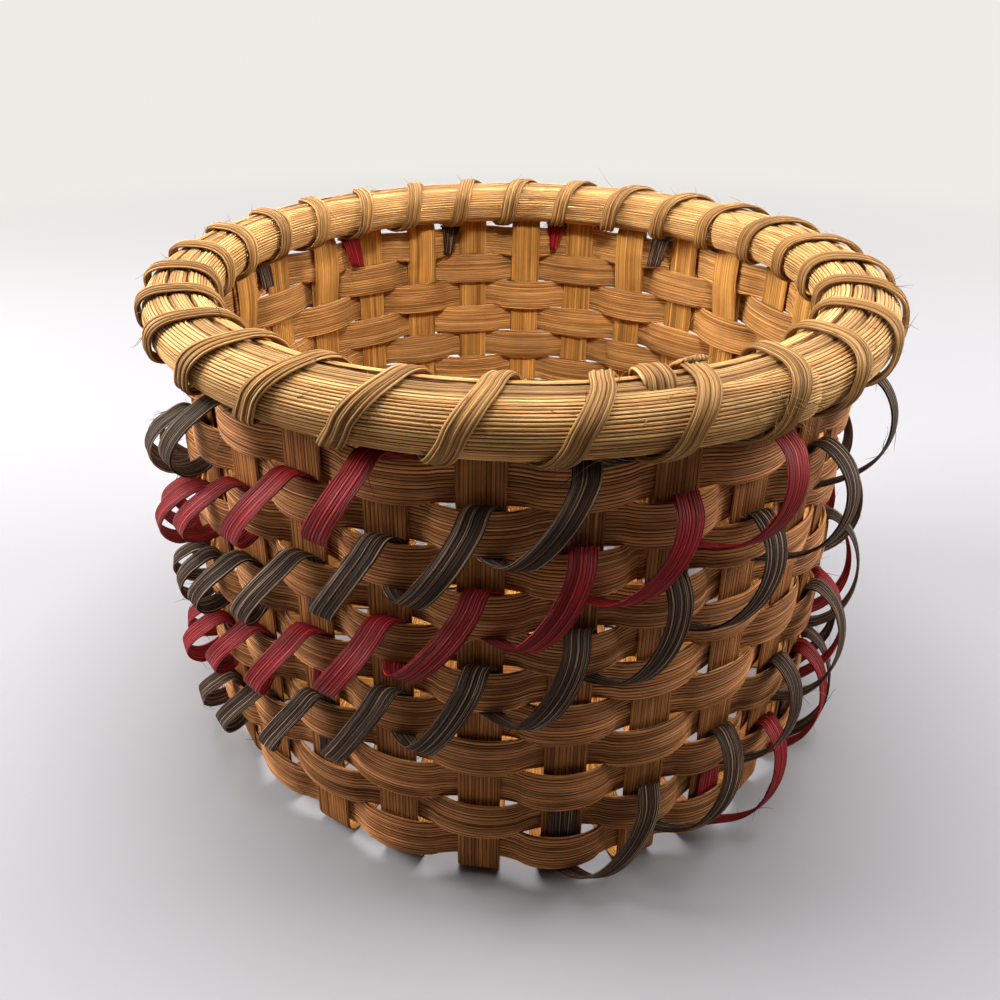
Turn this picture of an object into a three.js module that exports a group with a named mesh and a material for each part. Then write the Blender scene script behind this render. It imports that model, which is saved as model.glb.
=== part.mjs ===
// Round splint basket: flat stakes crossed in a plain-woven base and turned up
// the wall, eleven woven rows, a lashed double rim and ten dyed strips that
// curl in diagonal chains down the outside.
// Millimetres, Z up, origin on the floor under the centre of the base.
// A stake's azimuth is counted from -Y, the front, towards +X.

import * as THREE from "three";

// Wall and base
const stakeCount = 28;
const wallRadius = 110.5;
const stakeWidth = 12.7;
const stakeThickness = 1.0;
const basePitch = 18.0;
const baseBendRadius = 6.0;
const bendSteps = 3;
const fanSteps = 3;

// Woven rows
const rowCount = 11;
const weaverWidth = 12.3;
const weaverThickness = 1.6;
const rowGap = 0.4;
const lowestRowAboveBase = 7.6;

// Stake ends that stand outside the top row fold in over it and tuck behind a lower row
const foldTuckRow = 3;
const foldTuck = 6.0;

// Rim
const rimAboveTopRow = 3.9;
const hoopHeight = 15.5;
const hoopThickness = 8.5;
const hoopLean = 1.4;
const hoopScarf = 16.0;
const hoopSectionSteps = 6;
const rimRowWidth = 9.5;
const rimRowThickness = 1.0;
const fillerCrown = 0.2;
const fillerShoulder = 1.7;
const fillerTopShare = 0.6;
const outerHoopJoint = 2;
const innerHoopJoint = 9;
const fillerJoint = 16;

// Lashing round the rim
const lashWidth = 6.6;
const lashThickness = 1.2;
const lashLengths = 2;
const lashSteps = 10;
const lashSquareness = 0.7;
const lashLean = 0.12;
const lashEndGap = 0.8;
const firstLashedGap = 1;

// Curled strips
const curlWidth = 8.5;
const curlThickness = 0.8;
const curlBulge = 15.0;
const curlTopRise = 3.0;
const curlBottomDrop = 1.9;
const curlSlant = Math.PI / 36;
const curlSteps = 5;
const curlFirstTurn = Math.PI / 12;
const curlTwist = 1.25;
const curlGroupSize = 5;
const curlGroupStarts = [5, -9];
const curlStartLength = 12.0;
const curlStartOut = 3.4;
const curlStartSlant = -Math.PI / 24;
const curlTuck = 3.0;
const curlTailStop = 3.4;

// Fits
const clearance = 0.3;
const rowEdgeEase = 0.3;

// Sizes that follow from the ones above
const pitchAngle = (2 * Math.PI) / stakeCount;
const stripCount = stakeCount / 4;
const halfStake = stakeWidth / 2;
const stakeFace = wallRadius + stakeThickness / 2;
const curlSlot = clearance + curlThickness + clearance;
const foldSlot = clearance + stakeThickness + clearance;
const rowPitch = weaverWidth + rowGap;
const rowEdge = weaverWidth / 2;
const lowestRowZ = lowestRowAboveBase + rowEdge;
const topRowZ = lowestRowZ + (rowCount - 1) * rowPitch;
const hoopBottomZ = topRowZ + rowEdge + rimAboveTopRow;
const rimRowZ = hoopBottomZ + rimRowWidth / 2;
const rimMiddleZ = hoopBottomZ + hoopHeight / 2;
const stakeTipZ = rimRowZ + rimRowWidth / 2;
const hoopFaceOffset = stakeThickness / 2 + clearance + rimRowThickness + clearance;
const fillerBottomZ = stakeTipZ + clearance;
const fillerTopZ = hoopBottomZ + hoopHeight + fillerCrown;

const materials = {
  stake: reed("stake reed", 0xb98650, 0.62),
  weaver: reed("weaver reed", 0xa87c4a, 0.66),
  rim: reed("rim reed", 0xd8a868, 0.55),
  lash: reed("lashing reed", 0xdcb070, 0.55),
  black: reed("black dyed reed", 0x39312f, 0.6),
  red: reed("red dyed reed", 0x8c2430, 0.55),
};

function reed(name, color, roughness) {
  return new THREE.MeshStandardMaterial({ name, color, roughness, metalness: 0 });
}

// Directions at an azimuth
function outward(azimuth) {
  return new THREE.Vector3(Math.sin(azimuth), -Math.cos(azimuth), 0);
}

function alongWall(azimuth) {
  return new THREE.Vector3(Math.cos(azimuth), Math.sin(azimuth), 0);
}

const up = new THREE.Vector3(0, 0, 1);

function azimuthOf(stake) {
  return stake * pitchAngle;
}

function rowZ(row) {
  return topRowZ - (row - 1) * rowPitch;
}

// A row passes outside every second stake, and the next row takes the others
function passesOutside(stake, row) {
  return (stake + row) % 2 === 0;
}

function wrap(stake) {
  return ((stake % stakeCount) + stakeCount) % stakeCount;
}

// A chain of curls moves one stake left with each row, from its stake at the top row
function chainStake(chain, row) {
  return chain.stake - (row - 1);
}

const chains = curlGroupStarts.flatMap((first) =>
  Array.from({ length: curlGroupSize }, (_, i) => ({
    stake: first - 2 * i,
    color: i % 2 === 0 ? "black" : "red",
  })),
);

function chainPasses(stake, row) {
  return chains.some((chain) => wrap(chainStake(chain, row) - stake) === 0);
}

const tailRow = rowCount - 2;

function tailTucks(stake) {
  const endsHere = chains.some((chain) => wrap(chainStake(chain, rowCount) - stake) === 0);
  return endsHere && !chainPasses(stake, tailRow);
}

// Room between a stake and a row: a curled strip passes there outside, a folded end inside
function slotAt(stake, row) {
  if (!passesOutside(stake, row)) {
    return row === foldTuckRow ? foldSlot : clearance;
  }
  const holdsStrip = row > 1 && (chainPasses(stake, row) || (row === tailRow && tailTucks(stake)));
  return holdsStrip ? curlSlot : clearance;
}

// A closed body from a row of corner rings: a loop, or open with flat ends.
// Opposite faces are split along matching diagonals, so a twisted band keeps its thickness.
function bodyFromRings(rings, isLoop) {
  const sides = rings[0].length;
  const index = [];
  const spans = isLoop ? rings.length : rings.length - 1;
  for (let i = 0; i < spans; i++) {
    const here = i * sides;
    const next = ((i + 1) % rings.length) * sides;
    for (let j = 0; j < sides; j++) {
      const turned = (j + 1) % sides;
      if (j < sides / 2) {
        index.push(here + j, here + turned, next + j);
        index.push(here + turned, next + turned, next + j);
      } else {
        index.push(here + j, here + turned, next + turned);
        index.push(here + j, next + turned, next + j);
      }
    }
  }
  if (!isLoop) {
    const far = (rings.length - 1) * sides;
    for (let j = 1; j < sides - 1; j++) {
      index.push(0, j + 1, j);
      index.push(far, far + j, far + j + 1);
    }
  }
  const corners = rings.flat();
  if (signedVolume(corners, index) < 0) {
    index.reverse();
  }
  const geometry = new THREE.BufferGeometry();
  const numbers = corners.flatMap((p) => p.toArray());
  geometry.setAttribute("position", new THREE.Float32BufferAttribute(numbers, 3));
  geometry.setIndex(index);
  geometry.computeVertexNormals();
  return geometry;
}

function signedVolume(corners, index) {
  const cross = new THREE.Vector3();
  let sum = 0;
  for (let i = 0; i < index.length; i += 3) {
    cross.crossVectors(corners[index[i + 1]], corners[index[i + 2]]);
    sum += corners[index[i]].dot(cross);
  }
  return sum / 6;
}

// Corner rings of a flat band: each station has a place and a direction across the band.
// The band keeps its thickness through each bend, as a mitred joint does.
function bandRings(stations, width, thickness, isLoop) {
  const count = stations.length;
  const faceNormal = (from, to, across) =>
    new THREE.Vector3().crossVectors(to.at.clone().sub(from.at), across).normalize();
  return stations.map((station, i) => {
    const hasBefore = isLoop || i > 0;
    const hasAfter = isLoop || i < count - 1;
    const before = hasBefore ? stations[(i - 1 + count) % count] : station;
    const after = hasAfter ? stations[(i + 1) % count] : station;
    const first = faceNormal(before, hasBefore ? station : after, station.across);
    const second = faceNormal(hasAfter ? station : before, after, station.across);
    const normal = first.clone().add(second).normalize();
    const halfThickness = thickness / 2 / normal.dot(first);
    const corner = (w, n) =>
      station.at
        .clone()
        .addScaledVector(station.across, (w * width) / 2)
        .addScaledVector(normal, n * halfThickness);
    return [corner(-1, -1), corner(1, -1), corner(1, 1), corner(-1, 1)];
  });
}

// The folded part of a stake end, from its tucked tip up the inside and over in the rim
function foldedTip(azimuth) {
  const besideStake = clearance + stakeThickness;
  const besideRow = besideStake + clearance + weaverThickness;
  const tuckedEdge = rowZ(foldTuckRow) + rowEdge;
  const foldZ = stakeTipZ - stakeThickness / 2;
  const inside = (depth, z) => stationAt(azimuth, wallRadius - depth, z, azimuth);
  return [
    inside(besideStake, tuckedEdge - foldTuck),
    inside(besideStake, tuckedEdge + clearance),
    inside(besideRow, topRowZ - rowEdge - clearance),
    inside(besideRow, topRowZ + rowEdge + clearance),
    inside(besideStake, hoopBottomZ - clearance),
    inside(besideStake, foldZ),
    inside(0, foldZ),
  ];
}

// One stake end, from its tip in the rim down the wall and in to the base mat
function stakeEnd(strip, isFolded) {
  const azimuth = strip * pitchAngle;
  const bendCentre = wallRadius - baseBendRadius;
  const floorZ = stakeThickness / 2;
  const stations = isFolded ? foldedTip(azimuth) : [stationAt(azimuth, wallRadius, stakeTipZ, azimuth)];
  for (let i = 0; i <= bendSteps; i++) {
    const turn = (i / bendSteps) * (Math.PI / 2);
    const radius = bendCentre + baseBendRadius * Math.cos(turn);
    stations.push(stationAt(azimuth, radius, floorZ + baseBendRadius * (1 - Math.sin(turn)), azimuth));
  }
  const start = outward(azimuth).multiplyScalar(bendCentre);
  const end = new THREE.Vector3(strip * basePitch, -matReach() - matRamp(), 0);
  const reach = start.distanceTo(end) / 3;
  const curve = new THREE.CubicBezierCurve3(
    start,
    start.clone().addScaledVector(outward(azimuth), -reach),
    end.clone().add(new THREE.Vector3(0, -reach, 0)),
    end,
  );
  for (let i = 1; i <= fanSteps; i++) {
    const at = curve.getPoint(i / fanSteps);
    const heading = curve.getTangent(i / fanSteps);
    at.z = floorZ;
    stations.push({ at, across: new THREE.Vector3(heading.y, -heading.x, 0) });
  }
  return stations;
}

function stationAt(azimuth, radius, z, heading) {
  return { at: outward(azimuth).multiplyScalar(radius).setZ(z), across: alongWall(heading) };
}

// The mat reaches this far from the middle, and a strip needs this length to change level
function matReach() {
  return ((stripCount - 1) / 2) * basePitch + halfStake + rowEdgeEase;
}

function matRamp() {
  return basePitch - stakeWidth - 2 * rowEdgeEase;
}

// A lengthwise strip: up the front wall, under the base and up the back wall.
// Crosswise strips are the same ones turned a quarter, over where these go under.
function stake(strip, quarterTurns) {
  const isFolded = !passesOutside(wrap(strip + quarterTurns * stripCount), 1);
  const front = stakeEnd(strip, isFolded);
  const back = stakeEnd(strip, isFolded).map((s) => ({
    at: new THREE.Vector3(s.at.x, -s.at.y, s.at.z),
    across: new THREE.Vector3(s.across.x, -s.across.y, s.across.z),
  }));
  const reach = (stripCount - 1) / 2;
  const overZ = stakeThickness / 2 + stakeThickness + clearance;
  const mat = [];
  for (let crossing = -reach; crossing <= reach; crossing++) {
    const isOver = Math.abs(crossing + strip) % 2 === quarterTurns;
    for (const side of [-1, 1]) {
      const y = crossing * basePitch + side * (halfStake + rowEdgeEase);
      const at = new THREE.Vector3(strip * basePitch, y, isOver ? overZ : stakeThickness / 2);
      mat.push({ at, across: new THREE.Vector3(1, 0, 0) });
    }
  }
  const stations = [...front, ...mat, ...back.reverse()];
  return bodyFromRings(bandRings(stations, stakeWidth, stakeThickness, false), false);
}

// A woven row is flat across each stake and crosses the wall in each gap
function wovenRow(row, z, width, thickness) {
  const stations = [];
  const edge = halfStake + rowEdgeEase;
  for (let k = 0; k < stakeCount; k++) {
    const offset = stakeThickness / 2 + slotAt(k, row) + thickness / 2;
    const radius = wallRadius + (passesOutside(k, row) ? offset : -offset);
    for (const side of [-1, 1]) {
      const at = outward(azimuthOf(k)).multiplyScalar(radius).setZ(z);
      stations.push({ at: at.addScaledVector(alongWall(azimuthOf(k)), side * edge), across: up.clone() });
    }
  }
  return bodyFromRings(bandRings(stations, width, thickness, true), true);
}

// A bent hoop of the given section, its two ends cut on a slant and laid together
function hoop(section, joint, scarf) {
  const stations = stakeCount * 2;
  const step = (2 * Math.PI) / stations;
  const flats = 1 / Math.cos(step / 2);
  const gap = (2 * clearance) / wallRadius;
  const deepest = Math.max(...section.map((p) => Math.abs(p.x)));
  const rings = [];
  for (let i = 0; i <= stations; i++) {
    const isEnd = i === 0 || i === stations;
    rings.push(
      section.map((p) => {
        const slant = isEnd ? ((Math.abs(p.x) / deepest) * scarf) / wallRadius / 2 : 0;
        const inset = i === 0 ? gap : i === stations ? -gap : 0;
        const azimuth = azimuthOf(joint) + (i + 0.5) * step + slant + inset;
        return outward(azimuth).multiplyScalar((wallRadius + p.x) * flats).setZ(rimMiddleZ + p.y);
      }),
    );
  }
  return bodyFromRings(rings, false);
}

function hoopFaceAt(y) {
  return hoopFaceOffset + (hoopLean * (y + hoopHeight / 2)) / hoopHeight;
}

// Half-round section with its flat face to the wall: side is 1 outside, -1 inside
function hoopSection(side) {
  const points = [];
  for (let i = 0; i <= hoopSectionSteps; i++) {
    const turn = (i / hoopSectionSteps - 0.5) * Math.PI;
    const y = (hoopHeight / 2) * Math.sin(turn);
    points.push(new THREE.Vector2(side * (hoopFaceAt(y) + hoopThickness * Math.cos(turn)), y));
  }
  return points;
}

// The filler lies on the stake tips and fills the notch between the hoops
function fillerSection() {
  const bottom = fillerBottomZ - rimMiddleZ;
  const top = fillerTopZ - rimMiddleZ;
  const shoulder = top - fillerShoulder;
  const lowHalf = hoopFaceAt(bottom) - clearance;
  const highHalf = hoopFaceAt(shoulder) - clearance;
  return [
    new THREE.Vector2(-lowHalf, bottom),
    new THREE.Vector2(lowHalf, bottom),
    new THREE.Vector2(highHalf, shoulder),
    new THREE.Vector2(highHalf * fillerTopShare, top),
    new THREE.Vector2(-highHalf * fillerTopShare, top),
    new THREE.Vector2(-highHalf, shoulder),
  ];
}

// One length of lashing: a turn for each gap between stakes, through the wall under the hoops
function lashing(firstGap, turns) {
  const aroundHoops = hoopFaceAt(0) + hoopThickness + clearance + lashThickness;
  const overFiller = Math.max(fillerTopZ - rimMiddleZ, hoopHeight / 2) + clearance + lashThickness;
  const squared = (value) => Math.sign(value) * Math.abs(value) ** lashSquareness;
  const turnLength = 4 * (aroundHoops + overFiller);
  const inset = (lashEndGap / 2 / turnLength) * lashSteps;
  const last = turns * lashSteps;
  const stations = [];
  for (let i = 0; i <= last; i++) {
    const step = Math.min(Math.max(i, inset), last - inset);
    const turn = (step / lashSteps) * 2 * Math.PI - Math.PI / 2;
    const lean = lashLean * Math.sin((step / lashSteps) * Math.PI) ** 2;
    const azimuth = azimuthOf(firstGap + 0.5 + step / lashSteps + lean);
    const radius = wallRadius + aroundHoops * squared(Math.cos(turn));
    stations.push(stationAt(azimuth, radius, rimMiddleZ + overFiller * squared(Math.sin(turn)), azimuth));
  }
  return bandRings(stations, lashWidth, lashThickness, false);
}

// A station of a curl: left of its stake, above its row's middle and out from the stake's face
function curlStation(stake, row, left, above, out, slant) {
  const azimuth = azimuthOf(stake) - left / wallRadius;
  const across = alongWall(azimuth).multiplyScalar(-Math.cos(slant)).addScaledVector(up, Math.sin(slant));
  return { at: outward(azimuth).multiplyScalar(stakeFace + out).setZ(rowZ(row) + above), across };
}

// The bow of a curl, in front of the wall: out over a row's top edge, down to the left
// and under the next row's lower edge at the next stake
function curlBow(stake, row, firstStep) {
  const stakePitch = wallRadius * pitchAngle;
  const top = rowEdge + curlTopRise;
  const bottom = -rowPitch - rowEdge - curlBottomDrop;
  const halfHeight = (top - bottom) / 2 / Math.cos(curlFirstTurn);
  const turnStep = (Math.PI - 2 * curlFirstTurn) / (curlSteps - 1);
  const stations = [];
  for (let i = firstStep; i < curlSteps; i++) {
    const turn = curlFirstTurn + i * turnStep;
    const left = (stakePitch * (1 - Math.cos(turn))) / 2;
    const above = (top + bottom) / 2 + halfHeight * Math.cos(turn);
    const slant = curlSlant * Math.min(1, curlTwist * Math.sin(turn));
    stations.push(curlStation(stake, row, left, above, curlBulge * Math.sin(turn), slant));
  }
  return stations;
}

// A strip's first end: up inside the wall beside its stake, then out between the top row and the rim
function curlStart(stake) {
  const overRow = rowEdge + clearance + curlThickness / 2;
  const beside = -(halfStake + clearance + curlWidth / 2);
  const inside = -(stakeThickness + clearance + weaverThickness + curlThickness / 2);
  const outside = clearance + weaverThickness;
  return [
    curlStation(stake, 1, beside, overRow - curlStartLength, inside, 0),
    curlStation(stake, 1, beside, overRow, inside, 0),
    curlStation(stake, 1, beside, overRow, outside, 0),
    curlStation(stake, 1, beside / 2, overRow, curlStartOut, curlStartSlant),
    ...curlBow(stake, 1, 0),
  ];
}

// A whole chain: its first end, ten curls, and its tail up the last stake
function curlChain(chain) {
  const inSlot = clearance + curlThickness / 2;
  const edge = rowEdge + clearance;
  const stations = curlStart(chain.stake);
  for (let row = 2; row < rowCount; row++) {
    const stake = chainStake(chain, row);
    stations.push(curlStation(stake, row, 0, -edge, inSlot, 0));
    stations.push(curlStation(stake, row, 0, edge, inSlot, 0));
    stations.push(...curlBow(stake, row, 0));
  }
  const last = chainStake(chain, rowCount);
  const tail = 2 * rowPitch - rowEdge + (tailTucks(last) ? curlTuck : -curlTailStop);
  stations.push(curlStation(last, rowCount, 0, -edge, inSlot, 0));
  stations.push(curlStation(last, rowCount, 0, tail, inSlot, 0));
  return bandRings(stations, curlWidth, curlThickness, false);
}

// Least distance between corners of a wound strip that lie at least a given number of rings apart
function leastSelfGap(rings, apart) {
  let least = Infinity;
  for (let i = 0; i < rings.length; i++) {
    for (let j = i + apart; j < rings.length; j++) {
      for (const a of rings[i]) {
        for (const b of rings[j]) {
          least = Math.min(least, a.distanceTo(b));
        }
      }
    }
  }
  return least;
}

const basket = new THREE.Group();

function add(name, geometry, material) {
  const mesh = new THREE.Mesh(geometry, material);
  mesh.name = name;
  basket.add(mesh);
  return mesh;
}

function addWound(name, rings, material, apart) {
  console.log(`${name}: least gap to itself ${leastSelfGap(rings, apart).toFixed(2)} mm`);
  return add(name, bodyFromRings(rings, false), material);
}

const middleStrip = (stripCount + 1) / 2;
for (let number = 1; number <= stripCount; number++) {
  const strip = number - middleStrip;
  add(`stake_lengthwise_${number}`, stake(strip, 0), materials.stake);
  add(`stake_crosswise_${number}`, stake(strip, 1), materials.stake).rotation.z = Math.PI / 2;
}

for (let row = 1; row <= rowCount; row++) {
  const name = `weaver_row_${String(row).padStart(2, "0")}`;
  add(name, wovenRow(row, rowZ(row), weaverWidth, weaverThickness), materials.weaver);
}

add("rim_row", wovenRow(0, rimRowZ, rimRowWidth, rimRowThickness), materials.weaver);
add("rim_hoop_outer", hoop(hoopSection(1), outerHoopJoint, hoopScarf), materials.rim);
add("rim_hoop_inner", hoop(hoopSection(-1), innerHoopJoint, hoopScarf), materials.rim);
add("rim_filler", hoop(fillerSection(), fillerJoint, 0), materials.rim);

const turnsPerLength = stakeCount / lashLengths;
for (let i = 0; i < lashLengths; i++) {
  const rings = lashing(firstLashedGap + i * turnsPerLength, turnsPerLength);
  addWound(`rim_lashing_${i + 1}`, rings, materials.lash, lashSteps - 2);
}

const made = { black: 0, red: 0 };
for (const chain of chains) {
  made[chain.color] += 1;
  addWound(`curl_strip_${chain.color}_${made[chain.color]}`, curlChain(chain), materials[chain.color], 5);
}

export default basket;
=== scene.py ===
import math

import bpy
import numpy as np
from bpy.props import FloatProperty, FloatVectorProperty, IntProperty, PointerProperty
from mathutils import Matrix, Vector


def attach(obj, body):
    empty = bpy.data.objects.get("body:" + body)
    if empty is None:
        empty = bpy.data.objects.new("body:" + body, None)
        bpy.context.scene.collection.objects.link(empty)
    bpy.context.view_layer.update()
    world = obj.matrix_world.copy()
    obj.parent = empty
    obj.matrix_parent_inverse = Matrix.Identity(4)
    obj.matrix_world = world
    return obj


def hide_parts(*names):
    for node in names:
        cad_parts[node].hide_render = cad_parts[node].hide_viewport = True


bl_info = {
    "name": "Round Splint Basket",
    "version": (1, 0, 0),
    "blender": (4, 5, 0),
    "location": "View3D > Sidebar > Basket",
    "description": "Woven, lashed and curled reed around the packed basket frame",
    "category": "Object",
}

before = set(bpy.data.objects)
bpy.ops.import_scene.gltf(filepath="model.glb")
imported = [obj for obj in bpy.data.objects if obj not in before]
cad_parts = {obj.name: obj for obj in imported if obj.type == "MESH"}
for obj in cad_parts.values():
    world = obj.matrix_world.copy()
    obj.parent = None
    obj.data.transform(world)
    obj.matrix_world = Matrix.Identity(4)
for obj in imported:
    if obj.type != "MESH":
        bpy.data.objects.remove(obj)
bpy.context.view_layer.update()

UP = np.array((0.0, 0.0, 1.0))


# Sizes and colours a user would change

def length(name, description, value):
    return FloatProperty(name=name, description=description, default=value, unit="LENGTH", subtype="DISTANCE")


def colour(name, description, value):
    return FloatVectorProperty(name=name, description=description, default=value,
                               subtype="COLOR", size=3, min=0.0, max=1.0)


class BasketSizes(bpy.types.PropertyGroup):
    stake_count: IntProperty(name="Stake Ends", description="Stake ends round the wall", default=28)
    row_count: IntProperty(name="Rows", description="Woven rows", default=11)
    wall_radius: length("Wall Radius", "To the middle of the stakes", 0.1105)
    stake_width: length("Stake Width", "Width of a flat stake", 0.0127)
    stake_thickness: length("Stake Thickness", "Thickness of a flat stake", 0.0010)
    weaver_width: length("Weaver Width", "Width of a woven strip", 0.0127)
    weaver_thickness: length("Weaver Thickness", "Thickness of a woven strip", 0.0016)
    hoop_height: length("Hoop Height", "Height of the half-round rim hoops", 0.0155)
    hoop_thickness: length("Hoop Thickness", "Thickness of a rim hoop", 0.0085)
    lash_width: length("Lashing Width", "Width of the lashing reed", 0.0066)
    lash_thickness: length("Lashing Thickness", "Thickness of the lashing reed", 0.0015)
    curl_width: length("Curl Width", "Width of a curled strip", 0.0076)
    curl_thickness: length("Curl Thickness", "Thickness of a curled strip", 0.0008)
    curl_bulge: length("Curl Bulge", "How far a curl stands out from the wall", 0.0155)


class BasketColours(bpy.types.PropertyGroup):
    stake: colour("Stake Reed", "Flat stakes", (0.66, 0.295, 0.068))
    weaver: colour("Weaver Reed", "Woven strips", (0.59, 0.275, 0.079))
    # Painted shade: these tints darken the outer faces of the stakes and woven strips in place of the shade on the
    # outside of the wall
    stake_painted_shade: colour("Stake Painted Shade", "Darker outer faces of the stakes", (0.60, 0.47, 0.54))
    weaver_painted_shade: colour("Weaver Painted Shade", "Darker outer faces of the woven strips", (0.98, 0.84, 0.96))
    rim: colour("Rim Reed", "Half-round hoops and filler", (0.90, 0.445, 0.160))
    lash: colour("Lashing Reed", "Lashing round the rim", (0.36, 0.188, 0.062))
    black: colour("Black Dyed Reed", "Dark curled strips", (0.052, 0.025, 0.0155))
    red: colour("Red Dyed Reed", "Red curled strips", (0.36, 0.0117, 0.0195))
    floor: colour("Floor", "Plain floor as it is seen", (0.30, 0.295, 0.31))
    bounce: colour("Floor Bounce", "Floor as it lights the basket", (0.26, 0.245, 0.23))
    backdrop: colour("Backdrop", "Pale background", (0.86, 0.84, 0.80))


def sizes():
    return bpy.context.scene.basket_sizes


def colours():
    return bpy.context.scene.basket_colours


# The basket's layout, in metres

FIRST_ROW_Z = 0.14075
ROW_PITCH = 0.0127
RIM_BOTTOM_Z = 0.1508
RIM_ROW_Z = 0.15555
RIM_ROW_THICKNESS = 0.001
RIM_MIDDLE_Z = 0.15855
FILLER_Z = 0.16355
TIP_Z = 0.1603
FLAT_WALL_TOP_Z = 0.15
HOOP_OFFSET = 0.0028
HOOP_LAP = 0.030
HOOP_LEAN = math.atan2(1.4, 15.5)
CLEAR = 0.0003
GRAIN_LIFT = 0.00004
BASE_PITCH = 0.018
BEND_RADIUS = 0.006
TIP_CORNER, MAT_CORNER = 0.0012, 0.0022
FOLD_ROW = 3
FOLD_DEPTH = 0.006
CURL_GROUPS = (5, -9)
CURLS_IN_GROUP = 5
FLOOR_REACH = 3.0

# Which side of the wall a hoop is on, its name, the stake at its joint and its seed
HOOPS = ((1, "outer", 2.62, 60), (-1, "inner", 9.5, 61))
# The number of a length of lashing and the gap it starts in
LASHINGS = ((1, 1), (2, 15))
LASH_TURNS = 14

# The first seed of each kind of strip; the next strip of that kind takes the next
ROW_SEED = 40
FILLER_SEED = 62
LASH_SEED = 70
CURL_SEED = 80
FIBRE_SEED = 500


def azimuth_of(stake):
    return stake * 2 * math.pi / sizes().stake_count


def outward(azimuth):
    return np.stack((np.sin(azimuth), -np.cos(azimuth), 0 * azimuth), -1)


def along_wall(azimuth):
    return np.stack((np.cos(azimuth), np.sin(azimuth), 0 * azimuth), -1)


def round_path(azimuth, radii, heights):
    return outward(azimuth) * radii[:, None] + UP * heights[:, None]


def row_z(row):
    return FIRST_ROW_Z - (row - 1) * ROW_PITCH


def passes_outside(stake, row):
    return (stake + row) % 2 == 0


def chains():
    """The stake each chain of curls starts at, and its dye."""
    return [(first - 2 * i, ("black", "red")[i % 2]) for first in CURL_GROUPS for i in range(CURLS_IN_GROUP)]


def strip_passes(stake, row):
    count = sizes().stake_count
    return any((first - (row - 1) - stake) % count == 0 for first, _ in chains())


def tail_tucks(stake):
    ends_here = strip_passes(stake, sizes().row_count)
    return ends_here and not strip_passes(stake, sizes().row_count - 2)


def slot_at(stake, row):
    """The room between a stake and a row, wider where something is tucked there."""
    if not passes_outside(stake, row):
        return 2 * CLEAR + sizes().stake_thickness if row == FOLD_ROW else CLEAR
    holds = row > 1 and (strip_passes(stake, row) or (row == sizes().row_count - 2 and tail_tucks(stake)))
    return 2 * CLEAR + sizes().curl_thickness if holds else CLEAR


# Small tools for paths

def wander(count, knots, amount, rng, loops=False):
    """A smooth random line that stays within the amount on both sides of nothing."""
    values = rng.uniform(-amount, amount, knots)
    if loops:
        values = np.append(values, values[0])
    at = np.linspace(0, len(values) - 1, count)
    low = np.minimum(at.astype(int), len(values) - 2)
    blend = (1 - np.cos((at - low) * math.pi)) / 2
    return values[low] * (1 - blend) + values[low + 1] * blend


def unit(vectors):
    return vectors / np.maximum(np.linalg.norm(vectors, axis=-1, keepdims=True), 1e-12)


def rounded(points, radius, steps=4):
    """Corners of a path replaced by arcs. Each point is a place followed by a direction across."""
    points = np.asarray(points, float)
    found = [points[0]]
    for before, here, after in zip(points[:-2], points[1:-1], points[2:]):
        back, ahead = before[:3] - here[:3], after[:3] - here[:3]
        reach = min(radius, 0.45 * np.linalg.norm(back), 0.45 * np.linalg.norm(ahead))
        start = here + (before - here) * reach / np.linalg.norm(back)
        end = here + (after - here) * reach / np.linalg.norm(ahead)
        for t in np.linspace(0, 1, steps):
            found.append((1 - t) ** 2 * start + 2 * t * (1 - t) * here + t * t * end)
    found.append(points[-1])
    return np.array(found)


def smooth_curve(points, steps):
    """A smooth curve through the given points, of any number of columns."""
    points = np.asarray(points, float)
    full = np.vstack((2 * points[0] - points[1], points, 2 * points[-1] - points[-2]))
    gaps = np.maximum(np.linalg.norm(np.diff(full[:, :3], axis=0), axis=1), 1e-6) ** 0.5
    knots = np.concatenate(((0,), np.cumsum(gaps)))
    found = []

    def between(p, q, first, last):
        return (p * (last - t) + q * (t - first)) / (last - first)

    for i in range(1, len(full) - 2):
        t0, t1, t2, t3 = knots[i - 1:i + 3]
        p0, p1, p2, p3 = full[i - 1:i + 3]
        for t in np.linspace(t1, t2, steps, endpoint=False):
            a, b, c = between(p0, p1, t0, t1), between(p1, p2, t1, t2), between(p2, p3, t2, t3)
            found.append(between(between(a, b, t0, t2), between(b, c, t1, t3), t1, t2))
    found.append(points[-1])
    return np.array(found)


class Strip:
    """One strip of reed: its path, the way its good face looks, and its width and thickness along it."""

    def __init__(self, points, seed, facing=None, across=None, width=1.0, thickness=1.0, level=False):
        points = np.asarray(points, float)
        tangent = unit(np.vstack((points[1:], points[-1:])) - np.vstack((points[:1], points[:-1])))
        if facing is not None:
            facing = unit(facing - tangent * (facing * tangent).sum(1, keepdims=True))
            across = np.cross(tangent, facing)
        else:
            if not level:
                across = across - tangent * (across * tangent).sum(1, keepdims=True)
            across = unit(across)
            facing = unit(np.cross(across, tangent))
        lengths = np.linalg.norm(np.diff(points, axis=0), axis=1)
        along = np.concatenate(((0,), np.cumsum(lengths)))
        size = np.ones((len(points), 2)) * np.stack(np.broadcast_arrays(width, thickness), -1)
        # A point of no size at each end closes the strip
        self.points, self.across, self.facing, self.along, self.size = (
            np.concatenate((a[:1], a, a[-1:])) for a in (points, across, facing, along, size))
        self.size[0] = self.size[-1] = 0
        self.seed = seed


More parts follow.
